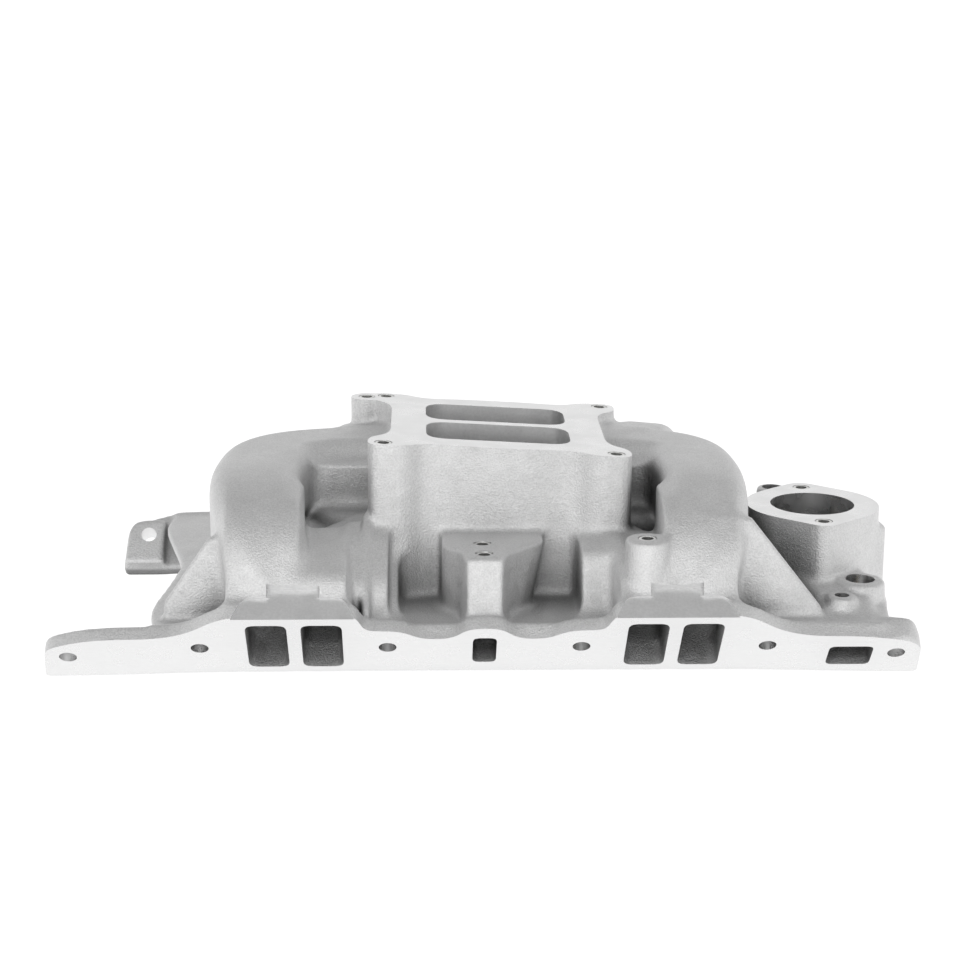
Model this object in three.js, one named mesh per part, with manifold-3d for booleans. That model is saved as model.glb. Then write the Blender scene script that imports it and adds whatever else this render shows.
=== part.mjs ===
// Dual-plane intake manifold for a 90 degree V8 with a square-flange four-barrel carburettor.
// Millimetres. +X points to the front of the engine, +Z up, and the origin is on the ground plane
// under the middle of the manifold. The near bank is at -Y and the far bank at +Y.
import * as THREE from "three";
import { mergeVertices } from "three/addons/utils/BufferGeometryUtils.js";
import Module from "manifold-3d";

const wasm = await Module();
wasm.setup();

// ---- Driving dimensions ----
const BORE_PITCH = 113.28; // cylinder to cylinder, along one bank
const BANK_STAGGER = 21.6; // how far the far bank sits ahead of the near one
const FACE_LEAN = THREE.MathUtils.degToRad(42); // head face, out from vertical at its top
const FACE_Y = 125.7; // bolt line of a head face to the middle of the manifold
const FLANGE = { half: 264.4, thickness: 9.5, foot: -33, sole: -29, shoulder: 33.7 };
const BOLT_Z = -FLANGE.foot * Math.cos(FACE_LEAN); // the ends of the flanges touch the ground plane
const EAR = { from: 237, thickness: 16 };
const BOLTS = { inner: 57.7, middle: 169, outer: 248, outerDrop: -9.8, radius: 5.3 };
const PORT = { width: 24.2, height: 49.3, corner: 5, middle: 1.7, fromPair: 16.25 };
const PAIR_X = BORE_PITCH - 0.7; // middle of a pair of ports, from the middle of its flange
const WALL = 4.5;
const LEDGE = { depth: 12.7, front: 43, back: 33, notch: 17.7, notchHalf: 15.5 };

const PAD = { z: 131.6, tilt: THREE.MathUtils.degToRad(3.09), studX: 71.25, studY: 65.55, ear: 9.5 };
const SLOT = { half: 45, inner: 4, outer: 48.5, corner: 14 };
const PLATE = { top: 38, thickness: 6 };

const PLENUM = { upperFloor: 86, lowerFloor: 46, half: 58 };
const HEAT = { width: 14, height: 28.8, middle: -4, corner: 3 };
const WATER = { width: 26.5, height: 21.7, x: 220.2, middle: -12.9, corner: 3 };
const NECK = { x: 200, y: -26, top: 85, bore: 26.4, collar: 42, boltY: 41, ear: 11 };

const INSERT = { outer: 5.2, hole: 3.6, length: 16, clearance: 0.3 };

const GROUND = new THREE.Matrix4();
const UP = new THREE.Vector3(0, 0, 1);
const ENDS = [-1, 1]; // rear, front

// ---- Solids ----
function solid(geometry, placement = GROUND) {
  const bare = (geometry.index ? geometry.toNonIndexed() : geometry.clone()).applyMatrix4(placement);
  bare.deleteAttribute("normal");
  bare.deleteAttribute("uv");
  const merged = mergeVertices(bare, 1e-4);
  return new wasm.Manifold(
    new wasm.Mesh({
      numProp: 3,
      vertProperties: merged.attributes.position.array,
      triVerts: new Uint32Array(merged.index.array),
    }),
  );
}

const join = (solids) => solids.reduce((sum, next) => sum.add(next));
const cut = (body, tools) => tools.reduce((rest, tool) => rest.subtract(tool), body);

function meshOf(name, manifold, material) {
  const { vertProperties, triVerts } = manifold.getMesh();
  const geometry = new THREE.BufferGeometry();
  geometry.setAttribute("position", new THREE.BufferAttribute(vertProperties, 3));
  geometry.setIndex(new THREE.BufferAttribute(triVerts, 1));
  geometry.computeVertexNormals();
  const mesh = new THREE.Mesh(geometry, material);
  mesh.name = name;
  return mesh;
}

// A closed outline through corners [x, y, radius], each rounded off by its radius.
function outline(corners) {
  const shape = new THREE.Shape();
  const at = (i) => new THREE.Vector2(...corners.at(i % corners.length));
  corners.forEach(([, , radius], i) => {
    const here = at(i);
    const toward = (other) => {
      const reach = Math.min(radius, here.distanceTo(other) * 0.499);
      return here.clone().add(other.clone().sub(here).setLength(reach));
    };
    const start = radius > 0 ? toward(at(i - 1)) : here;
    const end = toward(at(i + 1));
    if (i === 0) shape.moveTo(start.x, start.y);
    else shape.lineTo(start.x, start.y);
    if (radius > 0) shape.quadraticCurveTo(here.x, here.y, end.x, end.y);
  });
  return shape;
}

const rectangle = (x, y, width, height, corner) =>
  outline([
    [x - width / 2, y - height / 2, corner],
    [x + width / 2, y - height / 2, corner],
    [x + width / 2, y + height / 2, corner],
    [x - width / 2, y + height / 2, corner],
  ]);

// A shape extruded from height `from` to height `to` of the frame `placement`.
function prism(shape, from, to, placement = GROUND, curveSegments = 2) {
  const geometry = new THREE.ExtrudeGeometry(shape, {
    depth: to - from,
    bevelEnabled: false,
    curveSegments,
  });
  return solid(geometry.translate(0, 0, from), placement);
}

function cylinder(x, y, radius, from, to, placement = GROUND, sides = 16, topRadius = radius) {
  const geometry = new THREE.CylinderGeometry(topRadius, radius, to - from, sides);
  return solid(geometry.rotateX(Math.PI / 2).translate(x, y, (from + to) / 2), placement);
}

function roundedLoop(halfWidth, halfHeight) {
  const radius = 0.55 * Math.min(halfWidth, halfHeight);
  const loop = [];
  [[1, 1], [-1, 1], [-1, -1], [1, -1]].forEach(([sx, sy], quarter) => {
    for (let k = 0; k < 3; k += 1) {
      const angle = (quarter + k / 2) * (Math.PI / 2);
      loop.push([
        sx * (halfWidth - radius) + radius * Math.cos(angle),
        sy * (halfHeight - radius) + radius * Math.sin(angle),
      ]);
    }
  });
  return loop;
}

// A closed tube through stations [x, y, z, width, height]; `shrink` takes a wall off every side.
function duct(stations, shrink = 0, steps = 1) {
  const curve = new THREE.CatmullRomCurve3(
    stations.map(([x, y, z]) => new THREE.Vector3(x, y, z)),
    false,
    "centripetal",
  );
  const spans = stations.length - 1;
  const rings = [];
  for (let k = 0; k <= spans * steps; k += 1) {
    const share = k / (spans * steps);
    const span = Math.min(Math.floor(share * spans), spans - 1);
    const part = share * spans - span;
    const size = (column) =>
      THREE.MathUtils.lerp(stations[span][column], stations[span + 1][column], part) / 2 - shrink;
    const centre = curve.getPoint(share);
    const along = curve.getTangent(share);
    const across = UP.clone().cross(along).normalize();
    const rise = along.clone().cross(across);
    rings.push(
      roundedLoop(size(3), size(4)).map(([a, b]) =>
        centre.clone().addScaledVector(across, a).addScaledVector(rise, b),
      ),
    );
  }
  const sides = rings[0].length;
  const index = [];
  for (let k = 0; k + 1 < rings.length; k += 1) {
    for (let i = 0; i < sides; i += 1) {
      const j = (i + 1) % sides;
      const [a, b] = [k * sides, (k + 1) * sides];
      index.push(a + i, a + j, b + j, a + i, b + j, b + i);
    }
  }
  const last = (rings.length - 1) * sides;
  for (let i = 1; i + 1 < sides; i += 1) {
    index.push(0, i + 1, i, last, last + i, last + i + 1);
  }
  const geometry = new THREE.BufferGeometry().setFromPoints(rings.flat());
  geometry.setIndex(index);
  return solid(geometry);
}

// ---- Frames ----
// x along the flange, y up the slope of the head face, z out of the face.
function bankFrame(turn) {
  const upSlope = new THREE.Vector3(0, -Math.sin(FACE_LEAN), Math.cos(FACE_LEAN));
  const outward = new THREE.Vector3(0, -Math.cos(FACE_LEAN), -Math.sin(FACE_LEAN));
  const face = new THREE.Matrix4()
    .makeBasis(new THREE.Vector3(1, 0, 0), upSlope, outward)
    .setPosition(-BANK_STAGGER / 2, -FACE_Y, BOLT_Z);
  return new THREE.Matrix4().makeRotationZ(turn).multiply(face);
}

const NEAR = { frame: bankFrame(0), side: -1 };
const FAR = { frame: bankFrame(Math.PI), side: 1 };
const BANKS = [NEAR, FAR];

const padFrame = new THREE.Matrix4().makeRotationY(PAD.tilt).setPosition(0, 0, PAD.z);
const padHeight = (x) => PAD.z - x * Math.tan(PAD.tilt);

// World X of a place `x` ahead of the middle of a bank's flange.
const ahead = (bank, x) => x + (bank.side * BANK_STAGGER) / 2;

// A duct station inside a bank's flange, `x` ahead of its middle, `depth` behind the face.
function flangeStation(bank, x, middle, depth, width, height) {
  const place = new THREE.Vector3(-bank.side * x, middle, -depth).applyMatrix4(bank.frame);
  return [place.x, place.y, place.z, width, height];
}

// ---- Flanges ----
function flangeOutline() {
  const half = [
    [9.5, 21.7, 7],
    [20, 9.8, 7],
    [38, 9.8, 7],
    [49, 18.8, 8],
    [70.5, 19.8, 5],
    [76.5, FLANGE.shoulder, 5],
    [153, FLANGE.shoulder, 14],
    [182, 11.8, 20],
    [236, 10, 18],
    [261, -1, 7],
    [FLANGE.half, FLANGE.foot, 0],
    [238, FLANGE.foot, 12],
    [150, FLANGE.sole, 30],
  ];
  const other = half.map(([x, y, radius]) => [-x, y, radius]).reverse();
  return outline([...other, ...half].reverse());
}

function flange(bank) {
  return prism(flangeOutline(), -FLANGE.thickness, 0, bank.frame);
}

// The thick ear behind the end bolt of a flange: at the front of the near one, at the rear of the far one.
function endEar(bank) {
  const crest = bank === NEAR ? 6.5 : 2;
  const ear = outline([
    [EAR.from, -31, 0],
    [FLANGE.half - 1, -31, 0],
    [FLANGE.half - 2, -5, 9],
    [256, crest, 8],
    [242, crest, 4],
    [EAR.from, 2, 0],
  ]);
  return prism(ear, -EAR.thickness, -1, bank.frame);
}

function boltHoles(bank) {
  const places = ENDS.flatMap((end) => [
    [end * BOLTS.inner, 0],
    [end * BOLTS.middle, 0],
    [end * BOLTS.outer, BOLTS.outerDrop],
  ]);
  return places.map(([x, y]) => {
    const depth = x === BOLTS.outer ? EAR.thickness : FLANGE.thickness;
    return cylinder(x, y, BOLTS.radius, -depth - 2, 1, bank.frame, 12);
  });
}

function portCuts(bank) {
  const ports = ENDS.flatMap((end) =>
    ENDS.map((side) => end * PAIR_X + side * PORT.fromPair),
  ).map((x) => rectangle(x, PORT.middle, PORT.width, PORT.height, PORT.corner));
  const heat = rectangle(0, HEAT.middle, HEAT.width, HEAT.height, HEAT.corner);
  const water = rectangle(-bank.side * WATER.x, WATER.middle, WATER.width, WATER.height, WATER.corner);
  return [...ports, heat, water].map((shape) => prism(shape, -14, 1, bank.frame));
}

// The machined ledge over a pair of ports, with its deeper notch in the middle.
function ledgeCuts(bank) {
  return ENDS.flatMap((end) => {
    const x = end * PAIR_X;
    const { front, back, depth, notch, notchHalf } = LEDGE;
    const plan = outline([
      [x - front, 1, 0],
      [x - back, -depth, 0],
      [x + back, -depth, 0],
      [x + front, 1, 0],
    ]);
    const layFlat = new THREE.Matrix4().makeRotationX(Math.PI / 2);
    const upright = bank.frame.clone().multiply(layFlat);
    return [
      prism(plan, -FLANGE.shoulder - 14, -FLANGE.shoulder, upright),
      prism(rectangle(x, FLANGE.shoulder + 5, 2 * notchHalf, 10, 0), -notch, 0, bank.frame),
    ];
  });
}

// ---- Carburettor pad and the column under it ----
function padOutline() {
  const reach = { x: PAD.studX + PAD.ear, y: PAD.studY + PAD.ear };
  const quarter = [
    [67, 0, 0],
    [67, 42, 16],
    [reach.x, 53, 12],
    [reach.x, reach.y - 1, 9],
    [58, reach.y - 2, 9],
    [46, 62.5, 14],
    [20, 66, 20],
  ];
  const mirror = ([sx, sy]) => quarter.map(([x, y, radius]) => [sx * x, sy * y, radius]);
  const corners = [
    ...mirror([1, 1]),
    ...mirror([-1, 1]).reverse(),
    ...mirror([-1, -1]),
    ...mirror([1, -1]).reverse(),
  ];
  return outline(corners.filter(([x, y], i) => y !== 0 || i === 0 || x < 0));
}

function column() {
  const block = prism(padOutline(), PLATE.top - PLATE.thickness, PAD.z + 20);
  const above = prism(rectangle(0, 0, 220, 200, 0), 0, 60, padFrame);
  return block.subtract(above);
}

function slotShape(side) {
  const middle = (side * (SLOT.inner + SLOT.outer)) / 2;
  return rectangle(0, middle, 2 * SLOT.half, SLOT.outer - SLOT.inner, SLOT.corner);
}

// One plenum floor lies high, under the far slot, and the other deep, under the near slot.
function plenums() {
  const middle = (SLOT.inner + SLOT.outer) / 2;
  const chamber = (side) =>
    rectangle(0, side * (middle + 1.5), 2 * PLENUM.half, SLOT.outer - SLOT.inner + 1, SLOT.corner);
  const roof = PAD.z - 14;
  return [
    prism(slotShape(1), PLENUM.upperFloor, PAD.z + 10),
    prism(slotShape(-1), PLENUM.lowerFloor, PAD.z + 10),
    prism(chamber(1), PLENUM.upperFloor, roof),
    prism(chamber(-1), PLENUM.lowerFloor, roof),
  ];
}

// Hollows in the underside, below the high plenum floor and either side of the heat crossover.
function undersidePockets() {
  return ENDS.map((end) => prism(rectangle(end * 42, 35, 34, 46, 8), -1, PLENUM.upperFloor - 8));
}

function bracketBoss() {
  return cylinder(-83.9, 61, 10.5, 100, padHeight(-83.9));
}

// ---- Runners ----
const REAR_SWELL = 4.5; // the near runner at the rear is fuller on its outer side
const swell = (end) => (end < 0 ? REAR_SWELL : 0);

// Over the top to the outer port of the near bank.
function upperNearRunner(end) {
  const x = (place) => ahead(NEAR, end * place);
  const port = PAIR_X + PORT.fromPair;
  return [
    [end * 40, 27, 100, 46, 42],
    [x(92), 27, 100, 50, 44],
    [x(128), 10, 99, 54 + swell(end), 45],
    [x(138 + swell(end) / 2), -34, 98, 55 + swell(end), 48],
    [x(137 + swell(end) / 2), -78, 89, 54 + swell(end), 58],
    [x(134), -101, 67, 48 + swell(end) / 2, 66],
    flangeStation(NEAR, end * port, PORT.middle, 22, 36, 60),
    flangeStation(NEAR, end * port, PORT.middle, 3, 33, 58),
  ];
}

// Over the top to the inner port of the far bank.
function upperFarRunner(end) {
  const port = PAIR_X - PORT.fromPair;
  const x = ahead(FAR, end * port);
  return [
    [end * 40, 30, 99, 44, 42],
    [end * 84, 44, 99, 46, 44],
    [x - end * 2, 84, 87, 40, 50],
    [x, 104, 63, 38, 60],
    flangeStation(FAR, end * port, PORT.middle, 22, 35, 60),
    flangeStation(FAR, end * port, PORT.middle, 3, 33, 58),
  ];
}

// From the deep plenum to the inner port of the near bank.
function lowerNearRunner(end) {
  const port = PAIR_X - PORT.fromPair;
  const x = (place) => ahead(NEAR, end * place);
  return [
    [end * 34, -30, 62, 36, 36],
    [x(78), -52, 61, 40, 38],
    [x(95), -90, 54, 35, 46],
    flangeStation(NEAR, end * port, PORT.middle, 22, 33, 58),
    flangeStation(NEAR, end * port, PORT.middle, 3, 33, 58),
  ];
}

// From the deep plenum, under the upper runners, to the outer port of the far bank.
function lowerFarRunner(end) {
  const port = PAIR_X + PORT.fromPair;
  const x = (place) => ahead(FAR, end * place);
  return [
    [end * 34, -30, 62, 36, 36],
    [end * 92, -20, 62, 40, 36],
    [x(122), 18, 60, 38, 36],
    [x(131), 70, 56, 36, 42],
    flangeStation(FAR, end * port, PORT.middle, 24, 34, 56),
    flangeStation(FAR, end * port, PORT.middle, 3, 33, 58),
  ];
}

// A profile drawn in Y and Z, extruded along X.
const SIDEWAYS = new THREE.Matrix4().makeBasis(
  new THREE.Vector3(0, 1, 0),
  new THREE.Vector3(0, 0, 1),
  new THREE.Vector3(1, 0, 0),
);

// A flat-fronted block behind a ledge, from x = `from` to x = `to`, under a line of [y, z, radius].
function blockUnder(crest, from, to) {
  const back = -66;
  const foot = 44;
  const front = crest[0][0];
  const corners = [[back, foot, 0], [front, foot, 0], ...crest, [back, crest.at(-1)[1], 0]];
  return prism(outline(corners.reverse()), from, to, SIDEWAYS);
}

// The leg of an arch comes down to the ledge with a leaning flat front.
function legFront(end) {
  const [from, to] = end < 0 ? [-163, -121] : [96, 138];
  return blockUnder([[-139, 58, 0], [-121, 94, 12], [-100, 108, 0]], from, to);
}

// The lower block beside the leg, over the inner port.
function portHousing(end) {
  return end < 0
    ? blockUnder([[-139, 58, 0], [-134, 74, 9], [-114, 80, 0]], -125, -92)
    : blockUnder([[-139, 58, 0], [-130, 66, 6], [-102, 75, 0]], 69, 100);
}

// Buttresses at the foot of the column, behind the inner bolts.
function columnFoot(end) {
  const foot = PLATE.top - 4;
  const [from, to, top, reach] = end < 0 ? [-73, -62, 68, -72] : [48, 72, 77, -98];
  const profile = outline([[-60, top, 0], [reach, top, 6], [-107, 44, 6], [-110, foot, 0], [-60, foot, 0]]);
  return prism(profile, from, to, SIDEWAYS);
}

// The wall that closes the deep recess between an arch and the column.
function recessWall(end) {
  return prism(rectangle(end * 97, -1, 54, 22, 0), 60, 108);
}

const RUNNERS = ENDS.flatMap((end) => [
  upperNearRunner(end),
  upperFarRunner(end),
  lowerNearRunner(end),
  lowerFarRunner(end),
]);

// ---- Heat crossover, from head to head under the plenum, and the choke pad over it ----
function heatCrossover() {
  const half = (bank) => [
    flangeStation(bank, 0, HEAT.middle, 2, 24, 38),
    flangeStation(bank, 0, HEAT.middle, 22, 24, 36),
    [(bank.side * BANK_STAGGER) / 3, bank.side * 62, 55, 30, 27],
  ];
  return [...half(NEAR), [0, 0, 57, 34, 26], ...half(FAR).reverse()];
}

const CHOKE_TOP = 79;

function chokeBox() {
  const x = ahead(NEAR, 0);
  const plan = outline([
    [x - 11, -127, 3],
    [x + 11, -127, 3],
    [x + 17, -108, 10],
    [x + 37, -86, 10],
    [x + 37, -60, 0],
    [x - 25, -60, 0],
    [x - 25, -92, 10],
    [x - 14, -108, 10],
  ]);
  return prism(plan, PLATE.top - 6, CHOKE_TOP);
}

const CHOKE_HOLES = [[-11.5, -94], [-11, -116]];

// ---- Floor plate between the flanges ----
function floorPlate() {
  const edge = FACE_Y - 1;
  const plan = outline([
    [-207, -edge, 0],
    [-213, -92, 20],
    [-202, -2, 0],
    [-224, 94, 20],
    [-219, edge, 0],
    [236, edge, 10],
    [240, 60, 10],
    [240, -70, 10],
    [232, -edge, 10],
  ]);
  const plate = prism(plan, PLATE.top - PLATE.thickness, PLATE.top);
  return join([plate, ...ENDS.map(endRail)]);
}

// The rail that seals on the end wall of the engine block.
function endRail(end) {
  const bottom = PLATE.top - PLATE.thickness - 5;
  const x = end < 0 ? -194 : 218;
  return prism(rectangle(x, 0, 18, 216, 0), bottom, PLATE.top - 1);
}

// Triangular webs from the near outer runners down to the flange.
function gusset(end) {
  const [inside, high, low] = end < 0 ? [-150, [-174, 89], [-202, 48]] : [125, [148, 100], [184, 54]];
  const foot = PLATE.top - 4;
  const corners = [
    [inside, foot, 0],
    [low[0], foot, 0],
    [...low, 3],
    [...high, 0],
    [inside, high[1], 0],
  ];
  const shape = outline(end < 0 ? corners.reverse() : corners);
  const upright = new THREE.Matrix4().makeRotationX(Math.PI / 2);
  return prism(shape, 108, 114, upright);
}

// A stiffening rib from the corner of the column to the near flange.
function cornerRib() {
  const profile = outline([
    [-66, PLATE.top - 4, 0],
    [-127, PLATE.top - 4, 0],
    [-128, 46, 2],
    [-84, 84, 10],
    [-66, 92, 0],
  ]);
  return prism(profile, -84, -79, SIDEWAYS);
}

// ---- Water crossover and thermostat neck at the front ----
function waterCrossover() {
  const half = (bank) => [
    flangeStation(bank, WATER.x, WATER.middle, 2, 35, 29),
    flangeStation(bank, WATER.x, WATER.middle, 22, 35, 27),
    [NECK.x + (bank.side > 0 ? 16 : 8), NECK.y + bank.side * 46, 37, 42, 24],
  ];
  return [...half(NEAR), [NECK.x, NECK.y, 44, 62, 30], ...half(FAR).reverse()];
}

function neckOutline() {
  const shape = new THREE.Shape();
  const { collar, ear, boltY } = NECK;
  const tangent = Math.asin((collar - ear) / boltY); // where an ear's side meets the collar
  const arc = (y, radius, from, to) => shape.absarc(0, y, radius, from, to, false);
  arc(0, collar, -tangent, tangent);
  arc(boltY, ear, tangent, Math.PI - tangent);
  arc(0, collar, Math.PI - tangent, Math.PI + tangent);
  arc(-boltY, ear, Math.PI + tangent, 2 * Math.PI - tangent);
  return shape;
}

function neck() {
  const placement = new THREE.Matrix4().makeTranslation(NECK.x, NECK.y, 0);
  return prism(neckOutline(), PLATE.top - 4, NECK.top, placement, 4);
}

// A round lobe down the front of the neck.
function neckLobe() {
  return cylinder(235, -30, 11.5, PLATE.top - 4, 72);
}

const NECK_BOLTS = ENDS.map((side) => [NECK.x, NECK.y + side * NECK.boltY]);

const HEATER_BOSS = { x: 222, y: -78, radius: 15, hole: 9, top: 51 };
const SENDER_BOSS = { x: 206.5, y: -101, radius: 9.2, hole: 4.4, top: 48 };
const BYPASS_BOSS = { x: 186, y: 46, radius: 10, hole: 6.5, top: 77 };
const WATER_BOSSES = [HEATER_BOSS, SENDER_BOSS, BYPASS_BOSS];

function waterBoss({ x, y, radius, top }) {
  return cylinder(x, y, radius + 1, PLATE.top - 5, top, GROUND, 16, radius);
}

function waterBossHole({ x, y, hole, top }) {
  return cylinder(x, y, hole, top - 14, top + 1, GROUND, 16);
}

const ACCESSORY_BOSS = { x: 85, y: -124, radius: 13, top: 91 };

function accessoryBoss() {
  const { x, y, radius, top } = ACCESSORY_BOSS;
  return cylinder(x, y, radius + 1.5, PLATE.top, top, GROUND, 16, radius);
}

// ---- Core plugs of the water crossover, pressed in from below ----
const CORE_PLUG = { radius: 12.5, depth: 6, skin: 1.6, bottom: 26 };
const CORE_PLUG_PLACES = {
  water_core_plug_near: [207, -66],
  water_core_plug_far: [217, 30],
};

function corePlugSeat([x, y]) {
  return cylinder(x, y, CORE_PLUG.radius + 4, CORE_PLUG.bottom, 34);
}

function corePlugHole([x, y]) {
  const clear = CORE_PLUG.radius + INSERT.clearance;
  return cylinder(x, y, clear, CORE_PLUG.bottom - 1, 42, GROUND, 20);
}

function corePlug([x, y]) {
  const { radius, depth, skin, bottom } = CORE_PLUG;
  const profile = [
    [0, depth - skin],
    [radius - skin, depth - skin],
    [radius - skin, 0],
    [radius, 0],
    [radius, depth - 1],
    [radius - 1, depth],
    [0, depth],
  ];
  const cup = new THREE.LatheGeometry(profile.map(([r, z]) => new THREE.Vector2(r, z)), 20);
  return solid(cup.rotateX(Math.PI / 2).translate(x, y, bottom));
}

// ---- Pipe plugs in the vacuum bosses on the far side of the column ----
const PIPE_PLUG = { radius: 8.2, length: 10, socket: 3.9, boss: 12 };
const PIPE_PLUG_PLACES = {
  vacuum_port_plug: [-24, 76, 104],
  breather_port_plug: [22, 76, 104],
};

// z out of the far side of the column
const farPlace = (place) =>
  new THREE.Matrix4().makeRotationX(-Math.PI / 2).setPosition(...place);

const vacuumBoss = (place) => cylinder(0, 0, PIPE_PLUG.boss, -16, 0, farPlace(place));

function vacuumBossHole(place) {
  const clear = PIPE_PLUG.radius + INSERT.clearance;
  return cylinder(0, 0, clear, -30, 1, farPlace(place), 20);
}

function pipePlug(place) {
  const { radius, length, socket } = PIPE_PLUG;
  const body = cylinder(0, 0, radius, -length, -0.5, farPlace(place), 20);
  return body.subtract(cylinder(0, 0, socket, -5, 1, farPlace(place), 6));
}

// ---- Oil splash shield under the plenum, held by drive rivets ----
const SHIELD = { x: 74, y: 60, sheet: 1.5, bottom: 28.6, pan: 5, rivetX: 66, rivetY: 50 };
const RIVET = { shank: 2.2, head: 5, hole: 2.5 };
const RIVET_PLACES = {
  shield_rivet_near_rear: [-SHIELD.rivetX, -SHIELD.rivetY],
  shield_rivet_near_front: [SHIELD.rivetX, -SHIELD.rivetY],
  shield_rivet_far_rear: [-SHIELD.rivetX, SHIELD.rivetY],
  shield_rivet_far_front: [SHIELD.rivetX, SHIELD.rivetY],
};

function rivetBoss([x, y]) {
  return cylinder(x, y, 6, SHIELD.bottom + SHIELD.sheet + 0.3, PLATE.top - 4, GROUND, 16);
}

function rivetHole([x, y]) {
  return cylinder(x, y, RIVET.hole, SHIELD.bottom - 1, PLATE.top - 1, GROUND, 10);
}

function splashShield() {
  const { x, y, sheet, bottom, pan } = SHIELD;
  const plate = prism(rectangle(0, 0, 2 * x, 2 * y, 10), bottom, bottom + sheet);
  const dish = prism(rectangle(0, 0, 2 * x - 34, 2 * y - 8, 14), bottom - pan, bottom + sheet / 2);
  const inside = rectangle(0, 0, 2 * x - 34 - 2 * sheet, 2 * y - 8 - 2 * sheet, 12);
  const hollow = prism(inside, bottom - pan + sheet, bottom + sheet + 1);
  return cut(plate.add(dish), [hollow, ...Object.values(RIVET_PLACES).map(rivetHole)]);
}

function driveRivet([x, y]) {
  const top = PLATE.top - 3;
  const head = SHIELD.bottom - 0.3;
  const profile = [
    [0, head - 2],
    [RIVET.head - 2, head - 1.8],
    [RIVET.head, head - 0.6],
    [RIVET.head, head],
    [RIVET.shank, head],
    [RIVET.shank, top],
    [0, top],
  ];
  const turned = new THREE.LatheGeometry(profile.map(([r, z]) => new THREE.Vector2(r, z)), 12);
  return solid(turned.rotateX(Math.PI / 2).translate(x, y, 0));
}

// ---- Threaded inserts ----
// Each one sits in a drilled hole, flush with the machined face around it.
const padPlace = (x, y) => padFrame.clone().multiply(new THREE.Matrix4().makeTranslation(x, y, 0));
const levelPlace = (x, y, z) => new THREE.Matrix4().makeTranslation(x, y, z);

const INSERTS = {
  carb_stud_insert_near_rear: padPlace(-PAD.studX, -PAD.studY),
  carb_stud_insert_near_front: padPlace(PAD.studX, -PAD.studY),
  carb_stud_insert_far_rear: padPlace(-PAD.studX, PAD.studY),
  carb_stud_insert_far_front: padPlace(PAD.studX, PAD.studY),
  bracket_boss_insert: levelPlace(-83.9, 61, padHeight(-83.9)),
  choke_pad_insert_inner: levelPlace(...CHOKE_HOLES[0], CHOKE_TOP),
  choke_pad_insert_outer: levelPlace(...CHOKE_HOLES[1], CHOKE_TOP),
  thermostat_insert_near: levelPlace(...NECK_BOLTS[0], NECK.top),
  thermostat_insert_far: levelPlace(...NECK_BOLTS[1], NECK.top),
  accessory_boss_insert: levelPlace(ACCESSORY_BOSS.x, ACCESSORY_BOSS.y, ACCESSORY_BOSS.top),
};

function insertHole(placement) {
  const radius = (INSERT.outer + INSERT.clearance) / Math.cos(Math.PI / 12);
  return cylinder(0, 0, radius, -INSERT.length - 3, 1, placement, 12);
}

function threadInsert(placement) {
  const sleeve = cylinder(0, 0, INSERT.outer, -INSERT.length, -0.2, placement, 16);
  return sleeve.subtract(cylinder(0, 0, INSERT.hole, -INSERT.length - 1, 1, placement, 16));
}

// ---- The casting ----
function casting() {
  const body = join([
    ...BANKS.flatMap((bank) => [flange(bank), endEar(bank)]),
    floorPlate(),
    column(),
    bracketBoss(),
    ...RUNNERS.map((stations) => duct(stations)),
    ...ENDS.flatMap((end) => [legFront(end), portHousing(end), columnFoot(end), recessWall(end)]),
    chokeBox(),
    cornerRib(),
    ...ENDS.map(gusset),
    accessoryBoss(),
    neck(),
    neckLobe(),
    duct(waterCrossover()),
    ...WATER_BOSSES.map(waterBoss),
    ...Object.values(CORE_PLUG_PLACES).map(corePlugSeat),
    ...Object.values(PIPE_PLUG_PLACES).map(vacuumBoss),
    ...Object.values(RIVET_PLACES).map(rivetBoss),
  ]);
  const withPlenums = cut(body, [...plenums(), ...undersidePockets()]).add(duct(heatCrossover()));
  return cut(withPlenums, [
    ...RUNNERS.map((stations) => duct(stations, WALL)),
    duct(heatCrossover(), WALL),
    duct(waterCrossover(), WALL),
    cylinder(NECK.x, NECK.y, NECK.bore, 44, NECK.top + 1, GROUND, 24),
    ...BANKS.flatMap((bank) => [...portCuts(bank), ...ledgeCuts(bank), ...boltHoles(bank)]),
    ...WATER_BOSSES.map(waterBossHole),
    ...Object.values(CORE_PLUG_PLACES).map(corePlugHole),
    ...Object.values(PIPE_PLUG_PLACES).map(vacuumBossHole),
    ...Object.values(RIVET_PLACES).map(rivetHole),
    ...Object.values(INSERTS).map(insertHole),
  ]);
}

// ---- Materials ----
const castAluminium = new THREE.MeshStandardMaterial({ color: 0xc9c9c7, roughness: 0.62, metalness: 0.9 });
const brightSteel = new THREE.MeshStandardMaterial({ color: 0xb6b8ba, roughness: 0.3, metalness: 1 });
const zincSteel = new THREE.MeshStandardMaterial({ color: 0xa9aca8, roughness: 0.42, metalness: 0.9 });
const brass = new THREE.MeshStandardMaterial({ color: 0xb59a58, roughness: 0.35, metalness: 1 });

// ---- The whole manifold ----
const manifold = new THREE.Group();
manifold.name = "intake_manifold";
const place = (places, make, material) =>
  Object.entries(places).forEach(([name, where]) => {
    manifold.add(meshOf(name, make(where), material));
  });

manifold.add(meshOf("manifold_casting", casting(), castAluminium));
manifold.add(meshOf("oil_splash_shield", splashShield(), zincSteel));
place(INSERTS, threadInsert, brightSteel);
place(CORE_PLUG_PLACES, corePlug, brass);
place(PIPE_PLUG_PLACES, pipePlug, brightSteel);
place(RIVET_PLACES, driveRivet, zincSteel);

export default manifold;
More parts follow.
